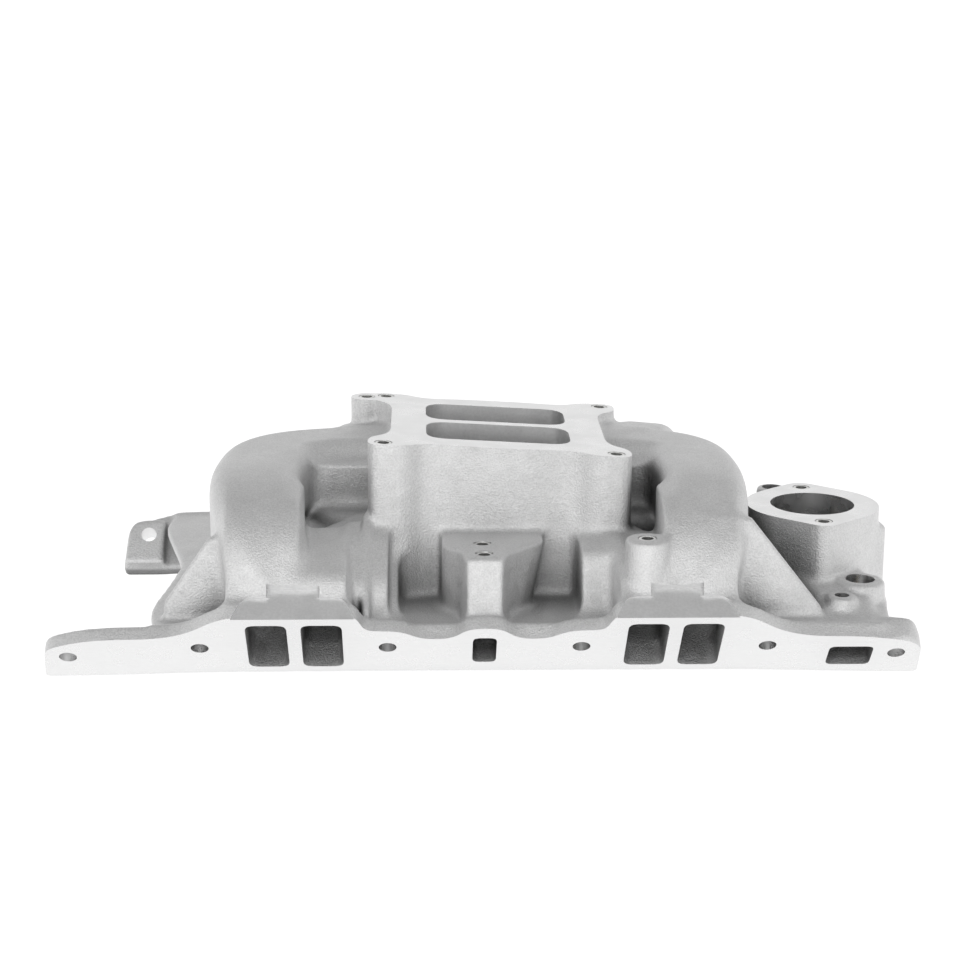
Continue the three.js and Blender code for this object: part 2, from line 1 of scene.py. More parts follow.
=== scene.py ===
"""Looks of the intake manifold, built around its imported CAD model.

The casting is made again as one smooth sand casting: its walls, runners and bosses are level sets
that run into each other with cast fillets, and milling, drilling and boring then cut the working
faces, so those stay flat and sharp. The small steel and brass pieces keep their CAD shapes.
Lengths are millimetres until a mesh is made, in metres.
"""
import math

import bpy
import numpy as np
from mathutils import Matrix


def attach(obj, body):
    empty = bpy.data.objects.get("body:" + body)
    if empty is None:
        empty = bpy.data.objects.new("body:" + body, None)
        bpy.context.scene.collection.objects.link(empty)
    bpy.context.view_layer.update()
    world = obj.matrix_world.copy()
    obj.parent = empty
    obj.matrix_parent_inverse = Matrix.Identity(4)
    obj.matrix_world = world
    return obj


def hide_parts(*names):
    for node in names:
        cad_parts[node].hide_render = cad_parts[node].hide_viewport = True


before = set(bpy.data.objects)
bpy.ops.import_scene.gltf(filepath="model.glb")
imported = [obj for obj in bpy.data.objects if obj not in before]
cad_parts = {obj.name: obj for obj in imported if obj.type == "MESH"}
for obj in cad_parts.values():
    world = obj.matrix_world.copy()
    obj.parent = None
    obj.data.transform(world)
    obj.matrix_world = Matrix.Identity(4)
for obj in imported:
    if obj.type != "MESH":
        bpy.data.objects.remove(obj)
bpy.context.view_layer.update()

import openvdb as vdb
from mathutils import Matrix, Vector, geometry

MM = 0.001
VOXEL = 1.5
BAND = 10  # voxels on each side of a surface that a level set holds
MOST_TRIANGLES = 150_000

# ---- Driving dimensions: the CAD model's, but for LEDGE and REAR_SWELL, set closer to the real part ----
BORE_PITCH = 113.28
BANK_STAGGER = 21.6
FACE_LEAN = math.radians(42)
FACE_Y = 125.7
FLANGE = dict(half=264.4, thickness=9.5, foot=-33, sole=-29, shoulder=33.7)
BOLT_Z = -FLANGE["foot"] * math.cos(FACE_LEAN)
EAR = dict(start=237, thickness=16)
BOLTS = dict(inner=57.7, middle=169, outer=248, outer_drop=-9.8, radius=5.3)
PORT = dict(width=24.2, height=49.3, corner=5, middle=1.7, from_pair=16.25)
PAIR_X = BORE_PITCH - 0.7
WALL = 4.5
LEDGE = dict(depth=14, front=37.9, back=29, notch=20, notch_half=15.5)
PAD = dict(z=131.6, tilt=math.radians(3.09), stud_x=71.25, stud_y=65.55, ear=9.5)
SLOT = dict(half=45, inner=4, outer=48.5, corner=14)
PLATE = dict(top=38, thickness=6)
PLENUM = dict(upper_floor=86, lower_floor=46, half=58)
HEAT = dict(width=14, height=28.8, middle=-4, corner=3)
WATER = dict(width=26.5, height=21.7, x=220.2, middle=-12.9, corner=3)
NECK = dict(x=200, y=-26, top=85, bore=26.4, collar=42, bolt_y=41, ear=11)
CHOKE_TOP = 79
BRACKET_BOSS = dict(x=-83.9, y=61, radius=10.5)
ACCESSORY_BOSS = dict(x=85, y=-124, radius=13, top=91)
WATER_BOSSES = [
    dict(x=222, y=-78, radius=15, hole=9, top=51),
    dict(x=206.5, y=-101, radius=9.2, hole=4.4, top=48),
    dict(x=186, y=46, radius=10, hole=6.5, top=77),
]
CORE_PLUG = dict(radius=12.5, bottom=26, places=[(207, -66), (217, 30)])
PIPE_PLUG = dict(radius=8.2, boss=12, places=[(-24, 76, 104), (22, 76, 104)])
RIVET = dict(hole=2.5, x=66, y=50, seat=30.4)
INSERT = dict(outer=5.2, length=16, clearance=0.3)
REAR_SWELL = 4
NECK_LOBE = dict(x=235, y=-30, radius=11.5, top=72)
ENDS = (-1, 1)  # rear, front
UP = np.array([0.0, 0.0, 1.0])
GROUND = np.eye(4)


# ---- Frames ----
def axes(x_axis, y_axis, z_axis, origin=(0, 0, 0)):
    place = np.eye(4)
    place[:3, 0], place[:3, 1], place[:3, 2], place[:3, 3] = x_axis, y_axis, z_axis, origin
    return place


def turned(angle):
    """A turn about the vertical."""
    cos, sin = math.cos(angle), math.sin(angle)
    return axes((cos, sin, 0), (-sin, cos, 0), UP)


def shifted(x, y, z):
    return axes((1, 0, 0), (0, 1, 0), UP, (x, y, z))


def moved(place, points):
    return np.asarray(points, float) @ place[:3, :3].T + place[:3, 3]


def bank_frame(turn):
    """x along a flange, y up the slope of its head face, z out of that face."""
    cos, sin = math.cos(FACE_LEAN), math.sin(FACE_LEAN)
    face = axes((1, 0, 0), (0, -sin, cos), (0, -cos, -sin), (-BANK_STAGGER / 2, -FACE_Y, BOLT_Z))
    return turned(turn) @ face


NEAR = dict(place=bank_frame(0), side=-1)
FAR = dict(place=bank_frame(math.pi), side=1)
BANKS = (NEAR, FAR)
PAD_PLACE = axes(
    (math.cos(PAD["tilt"]), 0, -math.sin(PAD["tilt"])),
    (0, 1, 0),
    (math.sin(PAD["tilt"]), 0, math.cos(PAD["tilt"])),
    (0, 0, PAD["z"]),
)
UPRIGHT = axes((1, 0, 0), (0, 0, 1), (0, -1, 0))  # a shape drawn in X and Z, extruded along -Y
SIDEWAYS = axes((0, 1, 0), (0, 0, 1), (1, 0, 0))  # a shape drawn in Y and Z, extruded along X
FAR_FACING = axes((1, 0, 0), (0, 0, -1), (0, 1, 0))  # z out of the far side of the column


def pad_height(x):
    return PAD["z"] - x * math.tan(PAD["tilt"])


def ahead(bank, x):
    """World X of a place x ahead of the middle of a bank's flange."""
    return x + bank["side"] * BANK_STAGGER / 2


def flange_station(bank, x, middle, depth, width, height):
    """A duct station inside a bank's flange, x ahead of its middle and depth behind the face."""
    place = moved(bank["place"], [(-bank["side"] * x, middle, -depth)])[0]
    return (*place, width, height)


# ---- Closed solids, as (points, quads, triangles) ----
def outline(corners, steps=6):
    """A closed outline through corners (x, y, radius), each rounded off by its radius."""
    points = []
    for i, (x, y, radius) in enumerate(corners):
        here = np.array([x, y], float)
        before = np.array(corners[i - 1][:2], float)
        after = np.array(corners[(i + 1) % len(corners)][:2], float)
        if radius <= 0:
            points.append(here)
            continue

        def toward(other):
            span = np.linalg.norm(other - here)
            return here + (other - here) / span * min(radius, 0.499 * span)

        start, end = toward(before), toward(after)
        for t in np.linspace(0, 1, steps + 1):
            points.append((1 - t) ** 2 * start + 2 * t * (1 - t) * here + t * t * end)
    return np.array(points)


def rectangle(x, y, width, height, corner):
    w, h = width / 2, height / 2
    return outline([(x - w, y - h, corner), (x + w, y - h, corner),
                    (x + w, y + h, corner), (x - w, y + h, corner)])


def circle(x, y, radius, sides=48):
    turn = np.arange(sides) * (2 * math.pi / sides)
    return np.stack([x + radius * np.cos(turn), y + radius * np.sin(turn)], axis=1)


def prism(shape, low, high, place=GROUND, top_shape=None):
    """A shape extruded from height low to height high of a frame."""
    top_shape = shape if top_shape is None else top_shape
    count = len(shape)
    ring = lambda flat, height: np.column_stack([flat, np.full(count, float(height))])
    points = moved(place, np.vstack([ring(shape, low), ring(top_shape, high)]))
    i = np.arange(count)
    j = (i + 1) % count
    x, y = shape.T
    leftward = np.sum(x * np.roll(y, -1) - np.roll(x, -1) * y) > 0
    quads = np.stack([i, j, j + count, i + count], axis=1)
    caps = np.array(geometry.tessellate_polygon([[Vector((*p, 0)) for p in shape]]))
    a, b, c = (shape[caps[:, k]] for k in range(3))
    turn = (b[:, 0] - a[:, 0]) * (c[:, 1] - a[:, 1]) - (b[:, 1] - a[:, 1]) * (c[:, 0] - a[:, 0])
    caps[turn < 0] = caps[turn < 0][:, ::-1]
    triangles = np.vstack([caps[:, ::-1], caps + count])
    if not leftward:
        quads = quads[:, ::-1]
    return points, quads, triangles


def cylinder(x, y, radius, low, high, place=GROUND, top_radius=None, sides=48):
    top = circle(x, y, radius if top_radius is None else top_radius, sides)
    return prism(circle(x, y, radius, sides), low, high, place, top)


def spline(stations, steps):
    """Rows along a centripetal Catmull-Rom curve through stations (x, y, z, width, height)."""
    rows = np.array(stations, float)
    knotted = np.vstack([2 * rows[0] - rows[1], rows, 2 * rows[-1] - rows[-2]])
    found = []
    for p0, p1, p2, p3 in zip(knotted, knotted[1:], knotted[2:], knotted[3:]):
        gaps = [math.sqrt(np.linalg.norm(b[:3] - a[:3])) for a, b in ((p0, p1), (p1, p2), (p2, p3))]
        t0, t1, t2, t3 = np.cumsum([0, *gaps])
        for t in np.linspace(t1, t2, steps, endpoint=False):
            mix = lambda a, b, start, end: ((end - t) * a + (t - start) * b) / (end - start)
            a1, a2, a3 = mix(p0, p1, t0, t1), mix(p1, p2, t1, t2), mix(p2, p3, t2, t3)
            found.append(mix(mix(a1, a2, t0, t2), mix(a2, a3, t1, t3), t1, t2))
    return np.vstack([*found, rows[-1]])


def rounded_loop(half_width, half_height, roundness=0.55, steps=6):
    radius = roundness * min(half_width, half_height)
    angles = np.arange(steps + 1) / steps * (math.pi / 2)
    loop = []
    for quarter, (sx, sy) in enumerate([(1, 1), (-1, 1), (-1, -1), (1, -1)]):
        turn = angles + quarter * (math.pi / 2)
        corner = [sx * (half_width - radius), sy * (half_height - radius)]
        loop.append(corner + radius * np.stack([np.cos(turn), np.sin(turn)], axis=1))
    return np.vstack(loop)


def duct(stations, shrink=0, roundness=0.55, steps=8):
    """A closed tube through stations; shrink takes a wall off every side."""
    rows = spline(stations, steps)
    centres = rows[:, :3]
    along = np.gradient(centres, axis=0)
    along /= np.linalg.norm(along, axis=1)[:, None]
    across = np.cross(UP, along)
    across /= np.linalg.norm(across, axis=1)[:, None]
    rise = np.cross(along, across)
    rings = []
    for centre, right, up, (width, height) in zip(centres, across, rise, rows[:, 3:]):
        loop = rounded_loop(width / 2 - shrink, height / 2 - shrink, roundness)
        rings.append(centre + loop[:, :1] * right + loop[:, 1:] * up)
    sides = len(rings[0])
    i = np.arange(sides)
    j = (i + 1) % sides
    quads = []
    for k in range(len(rings) - 1):
        a, b = k * sides, (k + 1) * sides
        quads.append(np.stack([a + i, a + j, b + j, b + i], axis=1))
    fan = np.stack([np.zeros(sides - 2, int), i[1:-1], i[2:]], axis=1)
    triangles = np.vstack([fan[:, ::-1], fan + (len(rings) - 1) * sides])
    return np.vstack(rings), np.vstack(quads), triangles


# ---- The level set that the casting grows in ----
class Casting:
    """A box of signed distances. Solids join it with a fillet, or are cut out of it."""

    def __init__(self, low, high):
        self.base = np.floor(np.array(low) / VOXEL).astype(int) - 4
        self.shape = np.ceil(np.array(high) / VOXEL).astype(int) + 5 - self.base
        self.edge = BAND * VOXEL
        self.space = vdb.createLinearTransform(voxelSize=VOXEL)
        self.field = np.full(self.shape, self.edge, np.float32)

    def distances(self, solid):
        """The solid's level set, and the part of the box that it reaches."""
        points, quads, triangles = solid
        grid = vdb.FloatGrid.createLevelSetFromPolygons(
            points.astype(np.float32), triangles=triangles.astype(np.uint32),
            quads=quads.astype(np.uint32), transform=self.space, halfWidth=BAND)
        low = np.floor(points.min(axis=0) / VOXEL).astype(int) - BAND
        high = np.ceil(points.max(axis=0) / VOXEL).astype(int) + BAND + 1
        low = np.maximum(low, self.base)
        high = np.minimum(high, self.base + self.shape)
        local = np.empty(high - low, np.float32)
        grid.copyToArray(local, ijk=tuple(int(v) for v in low))
        start, stop = low - self.base, high - self.base
        return local, tuple(slice(a, b) for a, b in zip(start, stop))

    def add(self, fillet, *solids):
        for solid in solids:
            new, where = self.distances(solid)
            old = self.field[where]
            self.field[where] = self.blended(old, new, fillet)

    def cut(self, fillet, *solids):
        for solid in solids:
            tool, where = self.distances(solid)
            old = self.field[where]
            self.field[where] = -self.blended(-old, tool, fillet)

    def blended(self, one, other, fillet):
        """The lower of two distances, lower still where both are small, which makes a fillet."""
        lower = np.minimum(one, other)
        near = np.clip(1 - np.abs(one - other) / fillet, 0, None)
        near[np.abs(lower) > self.edge - VOXEL] = 0
        return lower - near * near * (fillet / 4)

    def soften(self, rounds):
        """Rounds every edge a little, as a sand mould does."""
        for _ in range(rounds):
            for axis in range(3):
                ahead_one = np.roll(self.field, -1, axis)
                behind_one = np.roll(self.field, 1, axis)
                self.field += (ahead_one + behind_one - 2 * self.field) / 4

    def mesh(self):
        grid = vdb.FloatGrid(self.edge)
        grid.copyFromArray(self.field, ijk=tuple(int(v) for v in self.base))
        grid.transform = self.space
        points, triangles, quads = grid.convertToPolygons(isovalue=0, adaptivity=0)
        return points, quads, triangles


def largest_piece(points, quads, triangles):
    """Drops every loose crumb and keeps the biggest connected shell."""
    links = np.vstack([quads[:, [0, 1]], quads[:, [1, 2]], quads[:, [2, 3]],
                       triangles[:, [0, 1]], triangles[:, [1, 2]]]).astype(int)
    label = np.arange(len(points))
    while True:
        lowest = np.minimum(label[links[:, 0]], label[links[:, 1]])
        before = label.copy()
        np.minimum.at(label, links[:, 0], lowest)
        np.minimum.at(label, links[:, 1], lowest)
        label = label[label]
        if np.array_equal(label, before):
            break
    biggest = np.bincount(label).argmax()
    keep = label == biggest
    number = np.cumsum(keep) - 1
    return points[keep], number[quads[keep[quads[:, 0]]]], number[triangles[keep[triangles[:, 0]]]]


def mesh_object(name, points, quads, triangles, materials):
    """A mesh object in metres."""
    mesh = bpy.data.meshes.new(name)
    corners = np.concatenate([quads.ravel(), triangles.ravel()]).astype(np.int32)
    sizes = np.concatenate([np.full(len(quads), 4), np.full(len(triangles), 3)])
    mesh.vertices.add(len(points))
    mesh.vertices.foreach_set("co", (points * MM).astype(np.float32).ravel())
    mesh.loops.add(len(corners))
    mesh.loops.foreach_set("vertex_index", corners)
    mesh.polygons.add(len(sizes))
    starts = np.concatenate([[0], np.cumsum(sizes)[:-1]]).astype(np.int32)
    mesh.polygons.foreach_set("loop_start", starts)
    mesh.update(calc_edges=True)
    mesh.validate()
    for material in materials:
        mesh.materials.append(material)
    piece = bpy.data.objects.new(name, mesh)
    bpy.context.scene.collection.objects.link(piece)
    return piece


def joined(solids):
    """Several solids that don't touch as one."""
    points, quads, triangles, count = [], [], [], 0
    for p, q, t in solids:
        points.append(p)
        quads.append(q + count)
        triangles.append(t + count)
        count += len(p)
    return np.vstack(points), np.vstack(quads), np.vstack(triangles)


def apply_modifiers(piece):
    graph = bpy.context.evaluated_depsgraph_get()
    made = bpy.data.meshes.new_from_object(piece.evaluated_get(graph))
    piece.modifiers.clear()
    piece.data = made


def machine(piece, tools, finish):
    """Cuts a group of tools that don't touch each other out of the piece, leaving their finish."""
    tool = mesh_object("tool", *joined(tools), [finish])
    cutter = piece.modifiers.new("cut", "BOOLEAN")
    cutter.operation = "DIFFERENCE"
    cutter.solver = "MANIFOLD"
    cutter.material_mode = "TRANSFER"
    cutter.object = tool
    apply_modifiers(piece)
    bpy.data.objects.remove(tool)


# ---- Flanges ----
STOCK = 3  # extra metal that the milling cutter takes off


def flange_outline():
    half = [
        (9.5, 21.7, 7), (20, 9.8, 7), (38, 9.8, 7), (49, 18.8, 8), (70.5, 19.8, 5),
        (76.5, FLANGE["shoulder"] + STOCK, 5), (153, FLANGE["shoulder"] + STOCK, 14),
        (182, 11.8, 20), (236, 10, 18), (261, -1, 7), (FLANGE["half"], FLANGE["foot"], 0),
        (238, FLANGE["foot"], 12), (150, FLANGE["sole"], 30),
    ]
    other = [(-x, y, radius) for x, y, radius in half][::-1]
    return outline((other + half)[::-1])


def flange(bank):
    return prism(flange_outline(), -FLANGE["thickness"], STOCK, bank["place"])


def end_ear(bank):
    """The thick ear behind the end bolt of a flange."""
    crest = 6.5 if bank is NEAR else 2
    ear = outline([
        (EAR["start"], -31, 0), (FLANGE["half"] - 1, -31, 0), (FLANGE["half"] - 2, -5, 9),
        (256, crest, 8), (242, crest, 4), (EAR["start"], 2, 0),
    ])
    return prism(ear, -EAR["thickness"], -1, bank["place"])


def bolt_holes(bank):
    places = [(end * BOLTS["inner"], 0) for end in ENDS]
    places += [(end * BOLTS["middle"], 0) for end in ENDS]
    places += [(end * BOLTS["outer"], BOLTS["outer_drop"]) for end in ENDS]
    holes = []
    for x, y in places:
        depth = EAR["thickness"] if x == BOLTS["outer"] else FLANGE["thickness"]
        holes.append(cylinder(x, y, BOLTS["radius"], -depth - 3, STOCK + 2, bank["place"]))
    return holes


def port_mouths(bank):
    shapes = [rectangle(end * PAIR_X + side * PORT["from_pair"], PORT["middle"],
                        PORT["width"], PORT["height"], PORT["corner"])
              for end in ENDS for side in ENDS]
    shapes.append(rectangle(0, HEAT["middle"], HEAT["width"], HEAT["height"], HEAT["corner"]))
    shapes.append(rectangle(-bank["side"] * WATER["x"], WATER["middle"],
                            WATER["width"], WATER["height"], WATER["corner"]))
    return [prism(shape, -14, STOCK + 2, bank["place"]) for shape in shapes]


def face_cutter(bank):
    """Everything in front of a head face."""
    return prism(rectangle(0, 0, 640, 120, 0), 0, 40, bank["place"])


def ledge_cutters(bank):
    """The milled ledge over each pair of ports."""
    cutters = []
    for end in ENDS:
        x = end * PAIR_X
        plan = outline([
            (x - LEDGE["front"], 4, 0), (x - LEDGE["back"], -LEDGE["depth"], 5),
            (x + LEDGE["back"], -LEDGE["depth"], 5), (x + LEDGE["front"], 4, 0),
        ])
        cutters.append(prism(plan * (1, -1), FLANGE["shoulder"], FLANGE["shoulder"] + 16,
                             bank["place"] @ axes((1, 0, 0), (0, 0, -1), (0, 1, 0))))
    return cutters


def notch_cutters(bank):
    return [prism(rectangle(end * PAIR_X, FLANGE["shoulder"] + 5, 2 * LEDGE["notch_half"], 10, 3),
                  -LEDGE["notch"], 3, bank["place"]) for end in ENDS]


# ---- Column and pad ----
COLUMN_WAIST = 6  # how much shallower the flutes between the ears are at the foot


def pad_outline(fill=0):
    reach_x, reach_y = PAD["stud_x"] + PAD["ear"], PAD["stud_y"] + PAD["ear"]
    quarter = [(67, 42, 16), (reach_x, 53, 12), (reach_x, reach_y - 1, 9),
               (58, reach_y - 2, 9), (46, 62.5 + fill, 14), (20, 66 + fill / 3, 20)]
    corners = []
    for sx, sy in ((1, 1), (-1, 1), (-1, -1), (1, -1)):
        turned_quarter = [(sx * x, sy * y, radius) for x, y, radius in quarter]
        corners += turned_quarter if sx * sy > 0 else turned_quarter[::-1]
    return outline(corners)


def column():
    """Flatter sided at its foot than at the pad."""
    return prism(pad_outline(COLUMN_WAIST), PLATE["top"] - PLATE["thickness"], PAD["z"] + 8,
                 top_shape=pad_outline())


def slot_shape(side, grow=0):
    middle = side * (SLOT["inner"] + SLOT["outer"]) / 2
    return rectangle(0, middle, 2 * (SLOT["half"] + grow), SLOT["outer"] - SLOT["inner"] + 2 * grow,
                     SLOT["corner"])


def plenums():
    middle = (SLOT["inner"] + SLOT["outer"]) / 2 + 1.5
    found = []
    for side, floor in ((1, PLENUM["upper_floor"]), (-1, PLENUM["lower_floor"])):
        chamber = rectangle(0, side * middle, 2 * PLENUM["half"],
                            SLOT["outer"] - SLOT["inner"] + 1, SLOT["corner"])
        found.append(prism(chamber, floor, PAD["z"] - 14))
    return found


def underside_pockets():
    return [prism(rectangle(end * 42, 35, 34, 46, 8), -1, PLENUM["upper_floor"] - 8) for end in ENDS]


# ---- Runners ----
def swell(end):
    return REAR_SWELL if end < 0 else 0


def upper_near_runner(end):
    """Over the top to the outer port of the near bank."""
    x = lambda place: ahead(NEAR, end * place)
    port = PAIR_X + PORT["from_pair"]
    return [
        (end * 40, 27, 98, 46, 42),
        (x(92), 27, 97.5, 50, 44),
        (x(127), 10, 96.5, 52 + swell(end), 45),
        (x(136.5 + swell(end) / 2), -34, 95.5, 52 + swell(end), 48),
        (x(135.5 + swell(end) / 2), -78, 87, 51 + swell(end), 58),
        (x(133), -101, 66, 46 + swell(end) / 2, 66),
        flange_station(NEAR, end * port, PORT["middle"], 22, 36, 60),
        flange_station(NEAR, end * port, PORT["middle"], 3, 33, 58),
    ]


def upper_far_runner(end):
    """Over the top to the inner port of the far bank."""
    port = PAIR_X - PORT["from_pair"]
    x = ahead(FAR, end * port)
    return [
        (end * 40, 30, 97, 44, 42),
        (end * 84, 44, 97, 46, 44),
        (x - end * 2, 84, 86, 40, 50),
        (x, 104, 63, 38, 60),
        flange_station(FAR, end * port, PORT["middle"], 22, 35, 60),
        flange_station(FAR, end * port, PORT["middle"], 3, 33, 58),
    ]


def lower_near_runner(end):
    """From the deep plenum to the inner port of the near bank."""
    port = PAIR_X - PORT["from_pair"]
    x = lambda place: ahead(NEAR, end * place)
    return [
        (end * 34, -30, 62, 36, 36),
        (x(78), -52, 61, 40, 38),
        (x(95), -90, 54, 35, 46),
        flange_station(NEAR, end * port, PORT["middle"], 22, 33, 58),
        flange_station(NEAR, end * port, PORT["middle"], 3, 33, 58),
    ]


def lower_far_runner(end):
    """From the deep plenum, under the upper runners, to the outer port of the far bank."""
    port = PAIR_X + PORT["from_pair"]
    x = lambda place: ahead(FAR, end * place)
    return [
        (end * 34, -30, 62, 36, 36),
        (end * 92, -20, 62, 40, 36),
        (x(122), 18, 60, 38, 36),
        (x(131), 70, 56, 36, 42),
        flange_station(FAR, end * port, PORT["middle"], 24, 34, 56),
        flange_station(FAR, end * port, PORT["middle"], 3, 33, 58),
    ]


RUNNERS = [make(end) for end in ENDS
           for make in (upper_near_runner, upper_far_runner, lower_near_runner, lower_far_runner)]


def block_under(crest, start, end):
    """A block behind a ledge, from x = start to x = end, under a line of (y, z, radius)."""
    back, foot = -66, 44
    corners = [(back, foot, 0), (crest[0][0], foot, 0), *crest, (back, crest[-1][1], 0)]
    return prism(outline(corners), start, end, SIDEWAYS)


def leg_front(end):
    """The leg of an arch comes down to the ledge with a leaning flat front."""
    span = (-163, -121) if end < 0 else (96, 138)
    return block_under([(-139, 58, 0), (-121, 94, 14), (-100, 108, 10)], *span)


def port_housing(end):
    """The lower block beside the leg, over the inner port."""
    if end < 0:
        return block_under([(-139, 56, 0), (-135, 73, 14), (-106, 81, 24)], -125, -92)
    return block_under([(-139, 58, 0), (-130, 66, 6), (-102, 75, 8)], 69, 100)


def slot_floors():
    """The shallow grooves on each side of the corner rib, by the port housing and by the column."""
    foot = PLATE["top"] - 2
    by_housing = [(-60, foot, 0), (-119, foot, 0), (-117, 60, 6), (-88, 82, 10), (-60, 84, 0)]
    by_column = [(-60, foot, 0), (-115, foot, 0), (-110, 58, 8), (-82, 82, 10), (-60, 86, 0)]
    return [prism(outline(by_housing), -94, -82, SIDEWAYS), prism(outline(by_column), -82, -68, SIDEWAYS)]


def column_foot(end):
    """Buttresses at the foot of the column, behind the inner bolts."""
    foot = PLATE["top"] - 4
    start, stop, top, reach = (-73, -62, 68, -72) if end < 0 else (48, 72, 77, -98)
    profile = outline([(-60, top, 0), (reach, top, 8), (-107, 44, 8), (-112, foot, 0), (-60, foot, 0)])
    return prism(profile, start, stop, SIDEWAYS)


def recess_wall(end):
    """The wall that closes the deep recess between an arch and the column."""
    return prism(rectangle(end * 97, -1, 54, 22, 0), 60, 108)


def heat_crossover():
    def half(bank):
        return [
            flange_station(bank, 0, HEAT["middle"], 2, 24, 38),
            flange_station(bank, 0, HEAT["middle"], 22, 24, 36),
            (bank["side"] * BANK_STAGGER / 3, bank["side"] * 62, 55, 30, 27),
        ]
    return [*half(NEAR), (0, 0, 57, 34, 26), *half(FAR)[::-1]]


def choke_box():
    """A pillar under the choke pad, with flanks that flare out to the pad's back corners."""
    x = ahead(NEAR, 0)
    pad = outline([
        (x - 10, -124, 3), (x + 10, -124, 3), (x + 17, -108, 8), (x + 37, -88, 6),
        (x + 37, -60, 0), (x - 25, -60, 0), (x - 25, -94, 5), (x - 14, -108, 8),
    ])
    foot = outline([
        (x - 10, -118, 3), (x + 10, -118, 3), (x + 15, -107, 8), (x + 28, -88, 6),
        (x + 28, -60, 0), (x - 25, -60, 0), (x - 25, -92, 5), (x - 14, -107, 8),
    ])
    pillar = rectangle(x, -110, 22, 34, 3)
    low = PLATE["top"] - 6
    return [prism(foot, low, CHOKE_TOP, top_shape=pad), prism(pillar, low, CHOKE_TOP - 1)]


# ---- Floor, rails, ribs ----
def floor_plate():
    edge = FACE_Y - 1
    plan = outline([
        (-207, -edge, 0), (-213, -92, 20), (-202, -2, 0), (-224, 94, 20), (-219, edge, 0),
        (236, edge, 10), (240, 60, 10), (240, -70, 10), (232, -edge, 10),
    ])
    return prism(plan, PLATE["top"] - PLATE["thickness"], PLATE["top"])


RAIL_BOTTOM = PLATE["top"] - PLATE["thickness"] - 5
RAIL = dict(rear=-194, front=218, width=18, length=216, corner=4)


def end_rail(end):
    """The rail that seals on the end wall of the engine block."""
    x = RAIL["rear"] if end < 0 else RAIL["front"]
    bottom = RAIL_BOTTOM - STOCK if end < 0 else RAIL_BOTTOM
    plan = rectangle(x, 0, RAIL["width"], RAIL["length"], RAIL["corner"])
    return prism(plan, bottom, PLATE["top"] - 1)


def gusset(end):
    """A triangular web from a near outer runner down to the flange."""
    inside, high, low = (-150, (-174, 89), (-202, 48)) if end < 0 else (125, (148, 100), (193, 43))
    foot = PLATE["top"] - 4
    corners = [(inside, foot, 0), (low[0], foot, 0), (*low, 3), (*high, 0), (inside, high[1], 0)]
    return prism(outline(corners), 108, 114, UPRIGHT)


def corner_rib():
    """A stiffening rib from the corner of the column to the near flange."""
    foot = PLATE["top"] - 4
    return prism(outline([(-66, foot, 0), (-127, foot, 0), (-128, 46, 2), (-84, 84, 10), (-66, 92, 0)]),
                 -84, -79, SIDEWAYS)


# ---- Water crossover, neck and bosses ----
def water_crossover():
    def half(bank):
        return [
            flange_station(bank, WATER["x"], WATER["middle"], 2, 35, 29),
            flange_station(bank, WATER["x"], WATER["middle"], 22, 35, 27),
            (NECK["x"] + (16 if bank["side"] > 0 else 8), NECK["y"] + bank["side"] * 46, 37, 42, 24),
        ]
    return [*half(NEAR), (NECK["x"], NECK["y"], 44, 62, 30), *half(FAR)[::-1]]


def neck_outline(steps=14):
    """The collar with an ear for each bolt."""
    tangent = math.asin((NECK["collar"] - NECK["ear"]) / NECK["bolt_y"])
    arcs = [
        (0, NECK["collar"], -tangent, tangent),
        (NECK["bolt_y"], NECK["ear"], tangent, math.pi - tangent),
        (0, NECK["collar"], math.pi - tangent, math.pi + tangent),
        (-NECK["bolt_y"], NECK["ear"], math.pi + tangent, 2 * math.pi - tangent),
    ]
    points = []
    for y, radius, start, end in arcs:
        for turn in np.linspace(start, end, steps):
            points.append((NECK["x"] + radius * math.cos(turn), NECK["y"] + y + radius * math.sin(turn)))
    return np.array(points)


def neck():
    return prism(neck_outline(), PLATE["top"] - 4, NECK["top"] + STOCK)


def neck_lobe():
    """A round lobe down the front of the neck."""
    lobe = NECK_LOBE
    return cylinder(lobe["x"], lobe["y"], lobe["radius"], PLATE["top"] - 4, lobe["top"])


def water_boss(boss):
    return cylinder(boss["x"], boss["y"], boss["radius"] + 1, PLATE["top"] - 5, boss["top"],
                    top_radius=boss["radius"])


def accessory_boss():
    boss = ACCESSORY_BOSS
    return cylinder(boss["x"], boss["y"], boss["radius"] + 1.5, PLATE["top"], boss["top"],
                    top_radius=boss["radius"])


def bracket_boss():
    boss = BRACKET_BOSS
    return cylinder(boss["x"], boss["y"], boss["radius"], 100, pad_height(boss["x"]) + STOCK)


def far_place(place):
    return shifted(*place) @ FAR_FACING


# ---- Drilled and bored holes ----
def insert_places():
    """Where each thread insert sits, on its working face."""
    places = [PAD_PLACE @ shifted(sx * PAD["stud_x"], sy * PAD["stud_y"], 0) for sx in ENDS for sy in ENDS]
    places.append(shifted(BRACKET_BOSS["x"], BRACKET_BOSS["y"], pad_height(BRACKET_BOSS["x"])))
    places += [shifted(x, y, CHOKE_TOP) for x, y in ((-11.5, -94), (-11, -116))]
    places += [shifted(NECK["x"], NECK["y"] + side * NECK["bolt_y"], NECK["top"]) for side in ENDS]
    places.append(shifted(ACCESSORY_BOSS["x"], ACCESSORY_BOSS["y"], ACCESSORY_BOSS["top"]))
    return places


def insert_hole(place):
    radius = INSERT["outer"] + INSERT["clearance"]
    return cylinder(0, 0, radius, -INSERT["length"] - 3, STOCK + 1, place)


